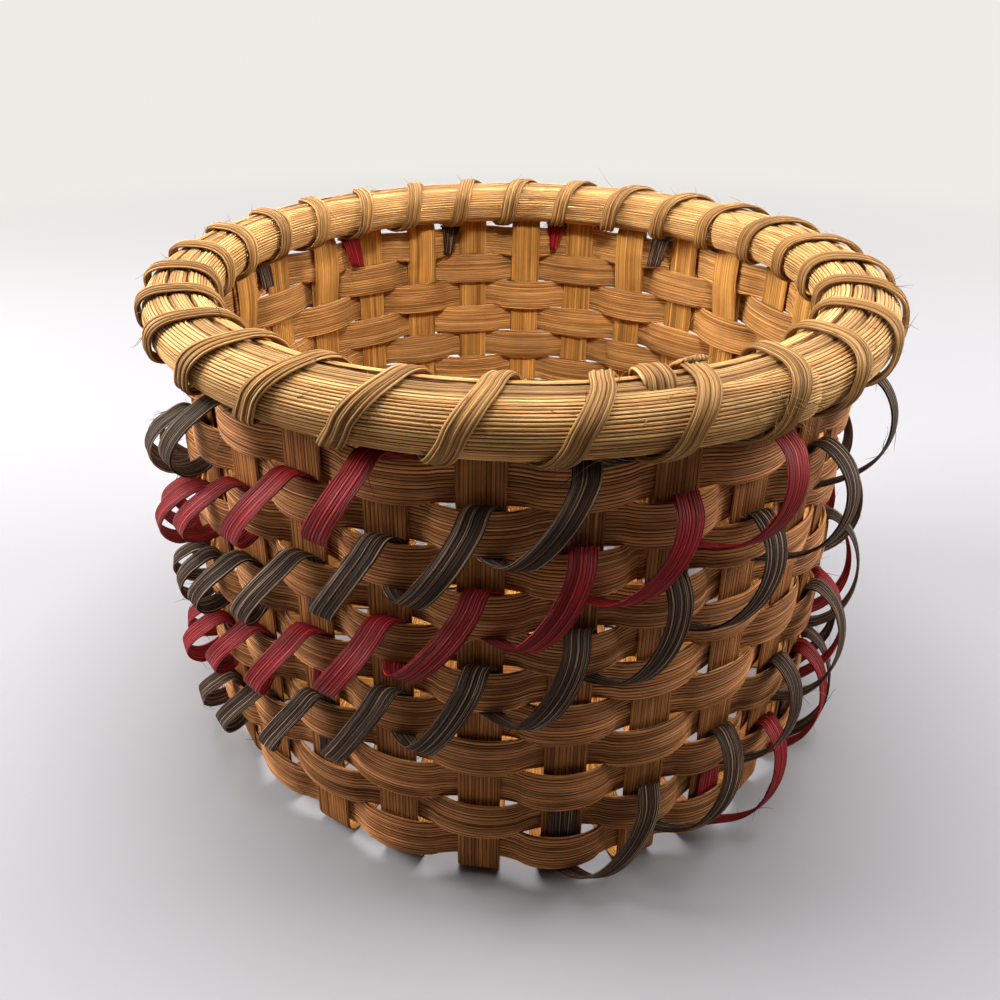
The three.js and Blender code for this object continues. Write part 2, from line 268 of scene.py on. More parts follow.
def path_mesh(name, strips):
    """The strips' paths as one mesh of points, with what the sweep reads on each point."""
    mesh = bpy.data.meshes.new(name)
    points = np.vstack([s.points for s in strips])
    mesh.vertices.add(len(points))
    mesh.vertices.foreach_set("co", points.ravel())
    values = (
        ("across", [s.across for s in strips]),
        ("facing", [s.facing for s in strips]),
        ("width_share", [s.size[:, 0] for s in strips]),
        ("thickness_share", [s.size[:, 1] for s in strips]),
        ("along", [s.along for s in strips]),
        ("number", [np.full(len(s.points), float(i)) for i, s in enumerate(strips)]),
        ("seed", [np.full(len(s.points), float(s.seed)) for s in strips]),
    )
    for label, data in values:
        data = np.concatenate(data)
        kind, field = ("FLOAT_VECTOR", "vector") if data.ndim == 2 else ("FLOAT", "value")
        attribute = mesh.attributes.new(label, kind, "POINT")
        attribute.data.foreach_set(field, np.ascontiguousarray(data, np.float32).ravel())
    return mesh


# Geometry nodes: sweep a flat, oval or half-round reed along each path

def combined(operation, swapped=False):
    """What a sign between two node outputs does: it adds a math node."""
    def apply(self, other=0.0):
        a, b = (other, self) if swapped else (self, other)
        return self.nodes.math(operation, a, b)
    return apply


class Value:
    """One output of a node, so that sums of them can be written as sums."""

    def __init__(self, nodes, socket):
        self.nodes, self.socket = nodes, socket

    __add__ = combined("ADD")
    __sub__ = combined("SUBTRACT")
    __rsub__ = combined("SUBTRACT", swapped=True)
    __mul__ = combined("MULTIPLY")
    __truediv__ = combined("DIVIDE")
    __rtruediv__ = combined("DIVIDE", swapped=True)
    __pow__ = combined("POWER")
    __abs__ = combined("ABSOLUTE")


class Nodes:
    """Builds a node tree a line at a time."""

    def __init__(self, tree):
        self.tree = tree

    def put(self, value, socket):
        if isinstance(value, Value):
            self.tree.links.new(value.socket, socket)
        else:
            socket.default_value = value

    def node(self, kind, *inputs, named=None, **settings):
        """A new node; its enabled inputs are linked or set in order, others by name."""
        node = self.tree.nodes.new(kind)
        for key, value in settings.items():
            setattr(node, key, value)
        for socket, value in zip([s for s in node.inputs if s.enabled], inputs):
            self.put(value, socket)
        for label, value in (named or {}).items():
            self.put(value, node.inputs[label])
        return node

    def parts(self, kind, *inputs, **settings):
        """All enabled outputs of a new node."""
        return [Value(self, s) for s in self.node(kind, *inputs, **settings).outputs if s.enabled]

    def add(self, kind, *inputs, out=0, **settings):
        """One enabled output of a new node."""
        return self.parts(kind, *inputs, **settings)[out]

    def outputs(self, kind):
        """The outputs of a new node by name."""
        return {s.name: Value(self, s) for s in self.node(kind).outputs}

    def math(self, operation, a, b=0.0):
        return self.add("ShaderNodeMath", a, b, operation=operation)

    def vector(self, operation, *inputs):
        return self.add("ShaderNodeVectorMath", *inputs, operation=operation)

    def ramp(self, value, low, high, start=0.0, end=1.0):
        return self.add("ShaderNodeMapRange", value, low, high, start, end, interpolation_type="SMOOTHSTEP")

    def mixed(self, kind, factor, a, b):
        node = self.node("ShaderNodeMix", data_type="RGBA", blend_type=kind, clamp_result=True)
        for i, value in ((0, factor), (6, a), (7, b)):
            self.put(value, node.inputs[i])
        return Value(self, node.outputs[2])

    def bundles(self, place, feature, scale=1.0, randomness=0.60):
        """Cells of uneven width along one line: how far to the nearest border, or a cell's own colour."""
        cells = self.node("ShaderNodeTexVoronoi", voronoi_dimensions="1D", feature=feature,
                          named={"W": place, "Scale": scale, "Randomness": randomness})
        return Value(self, cells.outputs["Distance" if feature == "DISTANCE_TO_EDGE" else "Color"])


def fresh_nodes(owner):
    """The node tree of a material or world, emptied."""
    owner.use_nodes = True
    owner.node_tree.nodes.clear()
    return Nodes(owner.node_tree)


# What a section may leave out; an edge power of 1 is an ellipse, and less is squarer
SECTION = {
    "edge_power": 0.5, "back_share": 1.0, "front_share": 0.5, "ridge_depth": 0.00006, "ridge_pitch": 0.0012,
    "ridge_run": 0.05, "rib_depth": 0.0, "rib_pitch": 0.002, "groove_depth": 0.0, "groove_pitch": 0.001,
}
ROUND_SECTION_POWER = 0.9
EDGE_SPREAD = 0.16


def section_of(kind):
    """The section of a kind of strip, with its points around and its grain."""
    s = sizes()
    given = {
        "stake": dict(around=48, width=s.stake_width, thickness=s.stake_thickness, edge_power=0.45,
                      ridge_pitch=0.0013, ridge_run=0.12, groove_depth=0.00012, groove_pitch=0.0011),
        "row": dict(around=80, width=s.weaver_width, thickness=s.weaver_thickness, edge_power=0.66,
                    ridge_depth=0.00014, ridge_pitch=0.0018, ridge_run=0.30, groove_depth=0.00032,
                    groove_pitch=0.0011),
        "rim row": dict(around=16, width=0.0095, thickness=RIM_ROW_THICKNESS),
        "hoop": dict(around=130, width=s.hoop_height, thickness=2 * s.hoop_thickness, edge_power=0.94,
                     front_share=0.85, back_share=0.0, ridge_depth=0.00020, ridge_pitch=0.0016, ridge_run=0.40,
                     groove_depth=0.00030),
        "filler": dict(around=32, width=0.0062, thickness=0.0060, edge_power=0.75, ridge_depth=0.00012,
                       ridge_pitch=0.0014, ridge_run=0.06),
        "lashing": dict(around=64, width=s.lash_width, thickness=s.lash_thickness, edge_power=0.72,
                        front_share=0.65, ridge_depth=0.00016, ridge_pitch=0.0011, ridge_run=0.10,
                        rib_depth=0.00022, groove_depth=0.00016, groove_pitch=0.0011),
        "curl": dict(around=52, width=s.curl_width, thickness=s.curl_thickness, ridge_depth=0.00010,
                     ridge_run=0.10, groove_depth=0.00015, groove_pitch=0.0009),
        "fibre": dict(around=5, width=0.00026, thickness=0.00018, edge_power=1.0, ridge_depth=0.0),
    }
    return {**SECTION, **given[kind]}


def labelled(key):
    return key.replace("_", " ").title()


def sweep_tree():
    """A grid with a row for each path point, wrapped round the section there and cut by ridges and grooves."""
    tree = bpy.data.node_groups.new("Sweep Reed", "GeometryNodeTree")
    for key in ("path", "around", "width", "thickness", *SECTION, "material"):
        kind = {"path": "Geometry", "around": "Int", "material": "Material"}.get(key, "Float")
        tree.interface.new_socket(labelled(key), in_out="INPUT", socket_type=f"NodeSocket{kind}")
    tree.interface.new_socket("Reed", in_out="OUTPUT", socket_type="NodeSocketGeometry")
    n = Nodes(tree)
    given = n.outputs("NodeGroupInput")

    around, path = given["Around"], given["Path"]
    stations = n.add("GeometryNodeAttributeDomainSize", path)
    ring = n.add("FunctionNodeIntegerMath", around, 1, operation="ADD")
    grid = n.add("GeometryNodeMeshGrid", 1.0, 1.0, stations, ring)
    index = n.add("GeometryNodeInputIndex")
    station = n.add("FunctionNodeIntegerMath", index, ring, operation="DIVIDE_FLOOR")
    step = n.add("FunctionNodeIntegerMath", index, ring, operation="MODULO")

    def sampled(value, kind):
        return n.add("GeometryNodeSampleIndex", path, value, station, data_type=kind, domain="POINT")

    def carried(label, kind="FLOAT"):
        return sampled(n.add("GeometryNodeInputNamedAttribute", label, data_type=kind), kind)

    place = sampled(n.add("GeometryNodeInputPosition"), "FLOAT_VECTOR")
    across, facing = carried("across", "FLOAT_VECTOR"), carried("facing", "FLOAT_VECTOR")
    width_share, thickness_share = carried("width_share"), carried("thickness_share")
    along, number, seed = carried("along"), carried("number"), carried("seed")

    # The section is a rounded oval; its points lie evenly across the face and closer at the edges
    share, front_share = step / around, given["Front Share"]
    front = n.math("MINIMUM", share / front_share, 1.0)
    behind = n.math("MAXIMUM", share - front_share, 0.0) / (1.0 - front_share)
    turn = (front + behind) * math.pi
    turn = turn + n.math("SINE", turn * 2.0) * EDGE_SPREAD
    wide = n.math("COSINE", turn)
    sharpness = 2.0 / given["Edge Power"]
    deep = n.math("MAXIMUM", 1.0 - abs(wide) ** sharpness, 0.0) ** (1.0 / sharpness)
    is_back = n.math("LESS_THAN", n.math("SINE", turn), 0.0)
    deep = deep * (1.0 - is_back * 2.0)
    back_cut = 1.0 - is_back * (1.0 - given["Back Share"])
    sideways = wide * (given["Width"] * 0.5 * width_share)
    outwards = deep * back_cut * (given["Thickness"] * 0.5 * thickness_share)

    def leaning(value):
        return n.math("SIGN", value) * abs(value) ** (sharpness - 1.0)

    pitch = given["Ridge Pitch"]
    grain = n.add("ShaderNodeCombineXYZ", sideways / pitch, outwards / pitch, along / given["Ridge Run"] + seed * 7.31)
    noise = n.add("ShaderNodeTexNoise", grain, 1.0, 2.0, 0.55) - 0.5
    rib = n.math("COSINE", (sideways / given["Rib Pitch"] + noise * 0.9) * (2 * math.pi))
    height = noise * (given["Ridge Depth"] * 2.0) + rib * given["Rib Depth"]

    # Grooves between fibre bundles, counted across a flat strip and round a half-round one
    is_round = n.math("GREATER_THAN", given["Edge Power"], ROUND_SECTION_POWER)
    arc = sideways + (turn * (given["Width"] * 0.5) - sideways) * is_round
    arc = arc / given["Groove Pitch"] + noise * 0.20 + seed * 3.17
    crack = n.add("ShaderNodeMapRange", n.bundles(arc, "DISTANCE_TO_EDGE"), 0.04, 0.36, 1.0, 0.0)
    height = height - crack * given["Groove Depth"]
    height = height * n.math("MINIMUM", width_share, thickness_share)

    spot = n.vector("ADD", place, n.vector("SCALE", across, sideways + leaning(wide) * height))
    spot = n.vector("ADD", spot, n.vector("SCALE", facing, outwards + leaning(deep) * back_cut * height))
    swept = n.add("GeometryNodeSetPosition", grid, True, spot)
    for label, value, kind in (
        ("strip", n.add("ShaderNodeCombineXYZ", along, sideways, outwards), "FLOAT_VECTOR"),
        ("strip_seed", seed, "FLOAT"),
        ("bundle_place", arc, "FLOAT"),
    ):
        swept = n.add("GeometryNodeStoreNamedAttribute", swept, True, label, value, data_type=kind, domain="POINT")
    middle = n.add("GeometryNodeFieldOnDomain", number, data_type="FLOAT", domain="FACE")
    between = n.math("LESS_THAN", abs(n.math("FRACT", middle) - 0.5), 0.4)
    swept = n.add("GeometryNodeDeleteGeometry", swept, between, domain="FACE", mode="ALL")
    swept = n.add("GeometryNodeMergeByDistance", swept, True, 2e-7)
    swept = n.add("GeometryNodeSetShadeSmooth", swept, True, True)
    swept = n.add("GeometryNodeRealizeInstances", swept)
    swept = n.add("GeometryNodeSetMaterial", swept, True, given["Material"])
    n.node("NodeGroupOutput", swept)
    return tree


def swept_piece(name, strips, kind, reed, nodes):
    """Strips swept by the node tree, made a plain mesh that stands for the named solids."""
    tree = bpy.data.node_groups.get("Sweep Reed") or sweep_tree()
    piece = bpy.data.objects.new(name, path_mesh(name, strips))
    bpy.context.scene.collection.objects.link(piece)
    sweep = piece.modifiers.new("Sweep Reed", "NODES")
    sweep.node_group = tree
    ids = {s.name: s.identifier for s in tree.interface.items_tree if s.item_type == "SOCKET" and s.in_out == "INPUT"}
    for key, value in {**section_of(kind), "material": material(reed)}.items():
        sweep[ids[labelled(key)]] = value
    piece.update_tag()
    graph = bpy.context.evaluated_depsgraph_get()
    graph.update()
    mesh = bpy.data.meshes.new_from_object(piece.evaluated_get(graph), depsgraph=graph)
    if not mesh.polygons:
        raise RuntimeError(f"{name} came out empty")
    piece.modifiers.remove(sweep)
    piece.data = mesh
    mesh.name = name
    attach(piece, "root")
    for node in nodes:
        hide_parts(node)
    return piece


# Materials: fibre bundles that run along each strip

GROOVE_COLOUR = (0.12, 0.07, 0.045)
SMALL_BUNDLE = 0.45
HALF_ROUND_RADIUS = 0.008


def reed_material(name, base, pale, groove=0.92, spacing=0.0012, bump=1.0, roughness=0.55, painted_shade_tint=None,
                  pale_colour=(0.95, 0.62, 0.27), solid=False, shine=0.12, shadow=(0.58, 0.51, 0.43),
                  light=(1.66, 1.70, 1.76), crack_from=0.25):
    """Reed made of long fibre bundles with dark cracks between them; its faces on the outside can be darkened by a
    painted shade tint.

    The base and the painted shade tint are the names of a user's colours.
    """
    made = bpy.data.materials.new(name)
    n = fresh_nodes(made)

    def carried(label, out):
        return n.add("ShaderNodeAttribute", attribute_name=label, attribute_type="GEOMETRY", out=out)

    along, side, out = n.parts("ShaderNodeSeparateXYZ", carried("strip", 1))
    seed, place = carried("strip_seed", 2), carried("bundle_place", 2)

    def layer(run, across, detail, offset):
        spot = n.add("ShaderNodeCombineXYZ", along * (1 / run) + seed * (3.7 + offset), side * (1 / across) + offset,
                     out * (1 / across) + seed * 1.3)
        return n.add("ShaderNodeTexNoise", spot, 1.0, detail, 0.6)

    patches = layer(0.050, 0.0050, 2.0, 0.0)
    fine = layer(0.070, spacing * 0.40, 1.0, 9.0)
    hairs = layer(0.022, spacing * 0.24, 2.0, 14.0)
    breaks = layer(0.022, 0.0016, 2.0, 21.0)
    thin = layer(0.017, 0.0012, 2.0, 27.0)
    sway = (layer(0.045, 0.0060, 1.0, 37.0) - 0.5) * 0.0016
    around = n.math("ARCTAN2", out, side) * HALF_ROUND_RADIUS if solid else side
    small = (around + sway) * (1 / (spacing * SMALL_BUNDLE)) + seed * 7.3
    small_edge = n.bundles(small, "DISTANCE_TO_EDGE", 2.0, 1.0)
    small_tone = n.add("ShaderNodeSeparateColor", n.bundles(small, "F1", 2.0, 1.0))
    crack = n.add("ShaderNodeMapRange", n.bundles(place, "DISTANCE_TO_EDGE"), 0.03, 0.26, 1.0, 0.0)
    own_tone = n.add("ShaderNodeSeparateColor", n.bundles(place, "F1"))
    cracks = n.ramp(crack, crack_from, 0.96) * n.ramp(breaks, 0.30, 0.44, 0.45, 1.0)
    grooves = n.ramp(small_edge, 0.05, 0.24, 0.8, 0.0) * n.ramp(thin, 0.38, 0.50, 0.1, 1.0)
    grooves = n.math("MAXIMUM", cracks, grooves)
    # Painted shade: a mask of the faces that look away from the basket's axis; it darkens their colour below and makes
    # their cracks stronger
    if painted_shade_tint is not None:
        level = n.vector("MULTIPLY", n.add("ShaderNodeTexCoord", out=3), (1.0, 1.0, 0.0))
        normal = n.add("ShaderNodeNewGeometry", out=1)
        faces_out = n.vector("DOT_PRODUCT", n.vector("NORMALIZE", level), normal)
        painted_shade_mask = n.ramp(faces_out, -0.25, 0.25)
        grooves = grooves * (painted_shade_mask * 0.60 + 0.40)

    base = np.array(getattr(colours(), base))
    low = (*(base * np.array(shadow)), 1.0)
    high = (*np.minimum(base * np.array(light), 0.98), 1.0)
    colour = n.mixed("MIX", n.ramp(fine, 0.34, 0.66) * 0.5 + own_tone * 0.5, low, high)
    lines = n.ramp(small_tone, 0.60, 0.80) * n.ramp(hairs, 0.40, 0.52, 0.3, 1.0)
    lines = lines * n.ramp(small_edge, 0.08, 0.25, 0.2, 1.0)
    colour = n.mixed("MIX", lines * pale, colour, (*pale_colour, 1.0))
    colour = n.mixed("MIX", grooves * groove, colour, (*(base * np.array(GROOVE_COLOUR)), 1.0))
    shade = n.ramp(patches, 0.34, 0.62, 0.74, 1.04)
    own = n.add("ShaderNodeTexWhiteNoise", seed + 0.37, noise_dimensions="1D")
    spots = n.add("ShaderNodeTexNoise", n.add("ShaderNodeTexCoord", out=3), 60.0, 3.0, 0.6)
    own_shade, spot_shade = n.ramp(own, 0.0, 1.0, 0.88, 1.06), n.ramp(spots, 0.34, 0.60, 0.86, 1.04)
    for tint in ((shade, shade ** 1.15, shade ** 1.3), (own_shade,) * 3, (spot_shade,) * 3):
        colour = n.mixed("MULTIPLY", 1.0, colour, n.add("ShaderNodeCombineColor", *tint))
    # Painted shade: the outer faces are multiplied by the darker tint
    if painted_shade_tint is not None:
        colour = n.mixed("MULTIPLY", painted_shade_mask, colour, (*getattr(colours(), painted_shade_tint), 1.0))

    rough = n.ramp(fine, 0.3, 0.7, roughness + 0.10, roughness - 0.08) + grooves * 0.15
    relief = fine * 0.5 + hairs * 0.45 + n.ramp(crack, 0.0, 1.0, 0.8, 0.0) + n.ramp(small_edge, 0.0, 0.35, 0.0, 0.3)
    bumped = n.add("ShaderNodeBump", named={"Strength": bump, "Distance": 0.0004, "Height": relief})
    shader = n.add("ShaderNodeBsdfPrincipled", named={"Base Color": colour, "Roughness": rough, "Normal": bumped,
                                                      "Specular IOR Level": shine})
    n.node("ShaderNodeOutputMaterial", shader)
    return made


REEDS = {
    "stake reed": dict(base="stake", painted_shade_tint="stake_painted_shade", groove=0.75, pale=0.22, roughness=0.6, bump=0.8),
    "weaver reed": dict(base="weaver", painted_shade_tint="weaver_painted_shade", groove=0.95, pale=0.55, roughness=0.6, spacing=0.0015),
    "rim reed": dict(base="rim", pale=0.45, spacing=0.0014, solid=True, crack_from=0.30,
                     pale_colour=(0.98, 0.66, 0.30), shadow=(0.72, 0.64, 0.56), light=(1.0, 1.25, 1.32)),
    "lashing reed": dict(base="lash", groove=0.75, pale=0.35, spacing=0.0013, roughness=0.52, bump=0.8),
    "black dyed reed": dict(base="black", pale=0.90, shine=0.11, pale_colour=(0.46, 0.33, 0.22)),
    "red dyed reed": dict(base="red", groove=0.90, pale=0.60, roughness=0.46, shine=0.13,
                          pale_colour=(0.78, 0.11, 0.09)),
}


def material(kind):
    """One kind of reed, made once and shared by its pieces."""
    return bpy.data.materials.get(kind) or reed_material(kind, **REEDS[kind])


# Stakes

def stake_strip(strip, quarter, seed):
    """A stake from one tip on the wall, down, across the mat and up to the other tip."""
    s = sizes()
    azimuth = azimuth_of(strip)
    rng = np.random.default_rng(seed)
    wall = s.wall_radius
    half = s.stake_thickness / 2
    out, side = outward(azimuth), along_wall(azimuth)
    folded = not passes_outside((strip + quarter * s.stake_count // 4) % s.stake_count, 1)

    def at(depth, z):
        return np.concatenate((out * (wall - depth) + UP * z, side))

    tip = [at(0, TIP_Z)]
    if folded:
        beside = CLEAR + s.stake_thickness
        past_row = beside + CLEAR + s.weaver_thickness
        edge = s.weaver_width / 2
        tucked = row_z(FOLD_ROW) + edge
        tip = [
            at(beside, tucked - FOLD_DEPTH),
            at(beside, tucked + CLEAR),
            at(past_row, row_z(1) - edge - CLEAR),
            at(past_row + CLEAR, row_z(1)),
            at(past_row, row_z(1) + edge + CLEAR),
            at(beside, RIM_BOTTOM_Z - CLEAR),
            at(beside, TIP_Z - half),
            at(0, TIP_Z - half),
        ]
    wall_part = tip + [at(0, z) for z in np.linspace(FLAT_WALL_TOP_Z, BEND_RADIUS + half, 28)]
    top = rounded(wall_part, TIP_CORNER)

    # The bend at the foot of the wall, then the fan that brings the stake to its place in the mat
    bend_centre = wall - BEND_RADIUS
    bend = [at(BEND_RADIUS * (1 - math.cos(turn)), half + BEND_RADIUS * (1 - math.sin(turn)))
            for turn in np.linspace(0.12, math.pi / 2, 9)]
    mat_edge = (s.stake_count // 4 - 1) / 2 * BASE_PITCH + s.stake_width / 2 + CLEAR
    ramp = BASE_PITCH - s.stake_width - 2 * CLEAR
    start = out * bend_centre
    end = np.array((strip * BASE_PITCH, -mat_edge - ramp, 0.0))
    reach = np.linalg.norm(end - start) / 3
    p1, p2 = start - out * reach, end + np.array((0.0, -reach, 0.0))
    fan = []
    for t in np.linspace(0, 1, 13)[1:]:
        point = (1 - t) ** 3 * start + 3 * t * (1 - t) ** 2 * p1 + 3 * t * t * (1 - t) * p2 + t ** 3 * end
        heading = (1 - t) ** 2 * (p1 - start) + 2 * t * (1 - t) * (p2 - p1) + t * t * (end - p2)
        heading = unit(heading)
        fan.append(np.concatenate((point + UP * half, (heading[1], -heading[0], 0.0))))
    front = np.vstack((top, bend, fan))
    back = front * (1, -1, 1, 1, -1, 1)

    # The mat: over and under each crossing stake
    mat = []
    over_z = half + s.stake_thickness + CLEAR
    crossings = (s.stake_count // 4 - 1) // 2
    for crossing in range(-crossings, crossings + 1):
        is_over = abs(crossing + strip) % 2 == quarter
        for end_side in (-1, 1):
            y = crossing * BASE_PITCH + end_side * (s.stake_width / 2 + CLEAR)
            mat.append((strip * BASE_PITCH, y, over_z if is_over else half, 1.0, 0.0, 0.0))
    path = np.vstack((front, rounded(mat, MAT_CORNER), back[::-1]))
    path = path[np.concatenate(((True,), np.linalg.norm(np.diff(path[:, :3], axis=0), axis=1) > 1e-5))]
    if quarter:
        for first in (0, 3):
            path[:, first:first + 2] = np.stack((-path[:, first + 1], path[:, first]), -1)
    path[:, 2] += GRAIN_LIFT
    widths = 1 + wander(len(path), 22, 0.02, rng)
    return Strip(path[:, :3], seed, across=path[:, 3:], width=widths)


class BASKET_OT_stakes(bpy.types.Operator):
    """Flat stakes, crossed in the base mat, turned up the wall, every second end folded in over the top row"""

    bl_idname = "basket.stakes"
    bl_label = "Build Stakes"

    def execute(self, context):
        for quarter, label in ((0, "lengthwise"), (1, "crosswise")):
            for number in range(1, 8):
                strip = stake_strip(number - 4, quarter, quarter * 7 + number)
                node = f"stake_{label}_{number}"
                swept_piece(f"{label}_stake_{number}", [strip], "stake", "stake reed", [node])
        return {"FINISHED"}


# Woven rows

ROW_STEPS = 12
ROW_LAP = 0.62
LEVEL_SEED = 77


def woven_strip(row, z, thickness, seed, joint):
    """A row over one stake and under the next, whose ends lap each other at the joint."""
    s = sizes()
    rng = np.random.default_rng(seed)
    count = s.stake_count
    stations = int(count * ROW_STEPS + ROW_LAP * ROW_STEPS)
    at = np.linspace(joint - ROW_LAP / 2, joint + count + ROW_LAP / 2, stations)
    nearest = np.rint(at).astype(int)
    crest = np.abs(np.cos(math.pi * (at - nearest)))
    half_stake, half_row = s.stake_thickness / 2, thickness / 2
    amplitude = np.array([
        max((half_stake + CLEAR + half_row) / 0.77, half_stake + slot_at(k % count, row) + half_row + CLEAR)
        for k in nearest
    ])
    amplitude = amplitude + rng.uniform(-0.00010, 0.00028, count)[nearest % count]
    side = np.where([passes_outside(k % count, row) for k in nearest], 1.0, -1.0)
    offset = side * amplitude * crest ** 0.7

    # Near the joint both ends are thinner; the first lies against the stake and the last over it
    first, last = (
        np.minimum(1, 3 * np.clip(1 - distance / (ROW_LAP + 0.15), 0, 1)) for distance in (at - at[0], at[-1] - at)
    )
    offset = offset - np.sign(offset) * thickness * 0.30 * first
    offset = offset + np.sign(offset) * thickness * 0.42 * last
    thick = 1 - 0.5 * first - 0.35 * last

    azimuth = at * 2 * math.pi / count
    shared = wander(stations, count, 0.00030, np.random.default_rng(LEVEL_SEED), loops=True)
    heights = z + shared + wander(stations, count, 0.00022, rng, loops=True)
    points = round_path(azimuth, s.wall_radius + offset, heights)
    lean = wander(stations, count, 0.05, rng, loops=True)
    facing = outward(azimuth) + UP * lean[:, None]
    widths = 1 + 0.12 * crest ** 0.45 + wander(stations, count * 2, 0.018, rng, loops=True)
    return Strip(points, seed, facing=facing, width=widths, thickness=thick)


def row_strip(row):
    s = sizes()
    joint = (row * 5 + (row * 5 + row + 1) % 2 + 14) % s.stake_count
    return woven_strip(row, row_z(row), s.weaver_thickness, ROW_SEED + row, joint)


class BASKET_OT_rows(bpy.types.Operator):
    """Woven rows over and under the stakes, and the thin row sealed in the rim"""

    bl_idname = "basket.rows"
    bl_label = "Build Woven Rows"

    def execute(self, context):
        for row in range(1, sizes().row_count + 1):
            node = f"weaver_row_{row:02d}"
            swept_piece(f"woven_row_{row:02d}", [row_strip(row)], "row", "weaver reed", [node])
        strip = woven_strip(0, RIM_ROW_Z, RIM_ROW_THICKNESS, ROW_SEED, 5)
        swept_piece("woven_row_in_rim", [strip], "rim row", "weaver reed", ["rim_row"])
        return {"FINISHED"}


# Rim

def hoop_strip(side, joint, seed):
    """A hoop a little longer than round: its first end lies under its last, and both are pared thin."""
    s = sizes()
    rng = np.random.default_rng(seed)
    radius = s.wall_radius + side * HOOP_OFFSET
    lap_turn = HOOP_LAP / radius
    count = s.stake_count * 11
    azimuth = np.linspace(azimuth_of(joint) - lap_turn / 2, azimuth_of(joint) + 2 * math.pi + lap_turn / 2, count)
    under = np.clip(1.15 - (azimuth - azimuth[0]) / lap_turn, 0, 1) ** 0.8
    over = np.clip(1.15 - (azimuth[-1] - azimuth) / lap_turn, 0, 1) ** 0.8
    shift = 0.0001 * under + s.hoop_thickness * 0.42 * over * side
    thick = 1 - 0.46 * under - 0.38 * over
    radii = radius + shift + wander(count, 30, 0.00018, rng)
    heights = RIM_MIDDLE_Z + wander(count, 30, 0.00020, rng)
    points = round_path(azimuth, radii, heights)
    facing = outward(azimuth) * side * math.cos(HOOP_LEAN) - UP * math.sin(HOOP_LEAN)
    widths = 1 + wander(count, 40, 0.012, rng) - 0.10 * under - 0.05 * over
    return Strip(points, seed, facing=facing, width=widths, thickness=thick)


def filler_strip():
    s = sizes()
    rng = np.random.default_rng(FILLER_SEED)
    count = s.stake_count * 12
    azimuth = np.linspace(azimuth_of(16) + 0.004, azimuth_of(16) + 2 * math.pi - 0.004, count)
    radii = s.wall_radius + wander(count, 40, 0.00012, rng)
    heights = FILLER_Z + wander(count, 40, 0.00020, rng)
    points = round_path(azimuth, radii, heights)
    return Strip(points, FILLER_SEED, facing=np.tile(UP, (count, 1)), width=1 + wander(count, 60, 0.03, rng))


class BASKET_OT_rim(bpy.types.Operator):
    """Two half-round hoops with lapped ends and the filler strip between them"""

    bl_idname = "basket.rim"
    bl_label = "Build Rim"

    def execute(self, context):
        for side, label, joint, seed in HOOPS:
            strip = hoop_strip(side, joint, seed)
            swept_piece(f"{label}_rim_hoop", [strip], "hoop", "rim reed", [f"rim_hoop_{label}"])
        swept_piece("rim_filler_strip", [filler_strip()], "filler", "rim reed", ["rim_filler"])
        return {"FINISHED"}


# Lashing

LASH_STEPS = 46
LASH_POWER = 0.76
LASH_REACH, LASH_RISE = 0.01215, 0.00875


def lash_section(turn):
    """Place and outward direction on the rim's outline, half a turn on each side of the top."""
    c, s = np.cos(turn), np.sin(turn)
    x = LASH_REACH * np.sign(c) * np.abs(c) ** LASH_POWER
    z = LASH_RISE * np.sign(s) * np.abs(s) ** LASH_POWER
    rise = 2 / LASH_POWER - 1
    nx = np.sign(x) * np.abs(x / LASH_REACH) ** rise / LASH_REACH
    nz = np.sign(z) * np.abs(z / LASH_RISE) ** rise / LASH_RISE
    size = np.hypot(nx, nz)
    return x, z, nx / size, nz / size


def lash_path(azimuth, turn, lift):
    """Places over the rim's outline, lifted off it, and the way out there."""
    x, z, nx, nz = lash_section(turn)
    points = round_path(azimuth, sizes().wall_radius + x + nx * lift, RIM_MIDDLE_Z + z + nz * lift)
    return points, round_path(azimuth, nx, nz)


def lash_strip(first_gap, turns, seed):
    """One length of lashing, a turn for each gap, leaning as it climbs and pinched under the rim."""
    rng = np.random.default_rng(seed)
    stations = turns * LASH_STEPS
    step = np.linspace(0.012, turns - 0.012, stations)
    drift = wander(stations, turns * 2, 0.035, rng)
    leaning = 0.12 * np.sin(math.pi * step) ** 2
    azimuth = azimuth_of(first_gap + 0.5 + step + leaning + drift * np.sin(math.pi * (step % 1.0)))
    turn = step * 2 * math.pi - math.pi / 2
    points, facing = lash_path(azimuth, turn, wander(stations, turns * 3, 0.00018, rng) + 0.00035)
    x, z, _, _ = lash_section(turn)
    pinched = np.where((np.abs(x) < 0.0035) & (z < 0), 0.85, 1.0)
    pinched = np.convolve(np.pad(pinched, 4, mode="edge"), np.full(9, 1 / 9), "valid")
    widths = pinched * (1 + wander(stations, turns * 4, 0.04, rng))
    return Strip(points, seed, facing=facing, width=widths, thickness=pinched)


def lash_end(gap, first_turn, last_turn, drift, dive, seed):
    """A short end of lashing over the rim, between two turns in degrees; it may dive at its end."""
    rng = np.random.default_rng(seed)
    count = 34
    t = np.linspace(0, 1, count)
    turn = math.radians(first_turn) + (math.radians(last_turn) - math.radians(first_turn)) * t
    azimuth = azimuth_of(gap) + drift / sizes().wall_radius * t
    points, facing = lash_path(azimuth, turn, 0.0007 - dive * np.clip((t - 0.86) / 0.14, 0, 1) ** 1.5)
    widths = 1.18 + wander(count, 5, 0.05, rng)
    widths[-4:] *= np.array((0.96, 0.90, 0.82, 0.70))
    return Strip(points, seed, facing=facing, width=widths)


